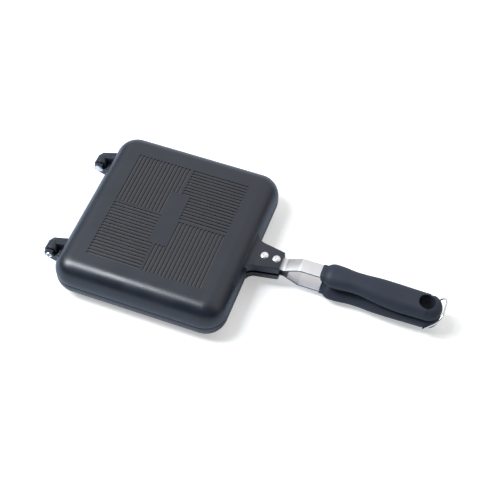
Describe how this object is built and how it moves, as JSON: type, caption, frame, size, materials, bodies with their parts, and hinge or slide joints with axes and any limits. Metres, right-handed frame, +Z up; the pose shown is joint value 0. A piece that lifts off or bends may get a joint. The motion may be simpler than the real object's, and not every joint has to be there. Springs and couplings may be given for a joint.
{
  "type": "pie iron",
  "caption": "Hinged square sandwich press for the hob: cast pan halves with basket-weave grooves, long two-part handle with a hanging hole and a swinging wire latch.",
  "frame": {"origin": "middle of the lower pan's flat base", "axes": "+X from the hinges to the handle, +Y across the pan, +Z up"},
  "size_m": [0.3365, 0.163, 0.0384],
  "materials": {
    "coated_casting": "dark non-stick coating, satin",
    "steel": "bright",
    "strip_steel": "satin stainless strip",
    "grip_plastic": "moulded phenolic resin",
    "wire": "bright drawn wire"
  },
  "bodies": {
    "base": {"lower_pan": "coated_casting", "lower_strap": "strip_steel", "lower_lug_rivets": "steel", "lower_handle": "grip_plastic", "hinge_rivet_near": "steel", "hinge_rivet_far": "steel"},
    "lid": {"upper_pan": "coated_casting", "upper_strap": "strip_steel", "upper_lug_rivets": "steel", "upper_handle": "grip_plastic"},
    "latch": {"latch_bail": "wire"}
  },
  "joints": [
    {"name": "lid_open", "type": "hinge", "parent": "base", "child": "lid", "pos_m": [-0.0872, 0, 0.0192], "axis": [0, -1, 0], "range_deg": [0, 180]},
    {"name": "latch_swing", "type": "hinge", "parent": "base", "child": "latch", "pos_m": [0.23, 0, 0.0102], "axis": [0, 1, 0], "range_deg": [-31, 222]}
  ]
}
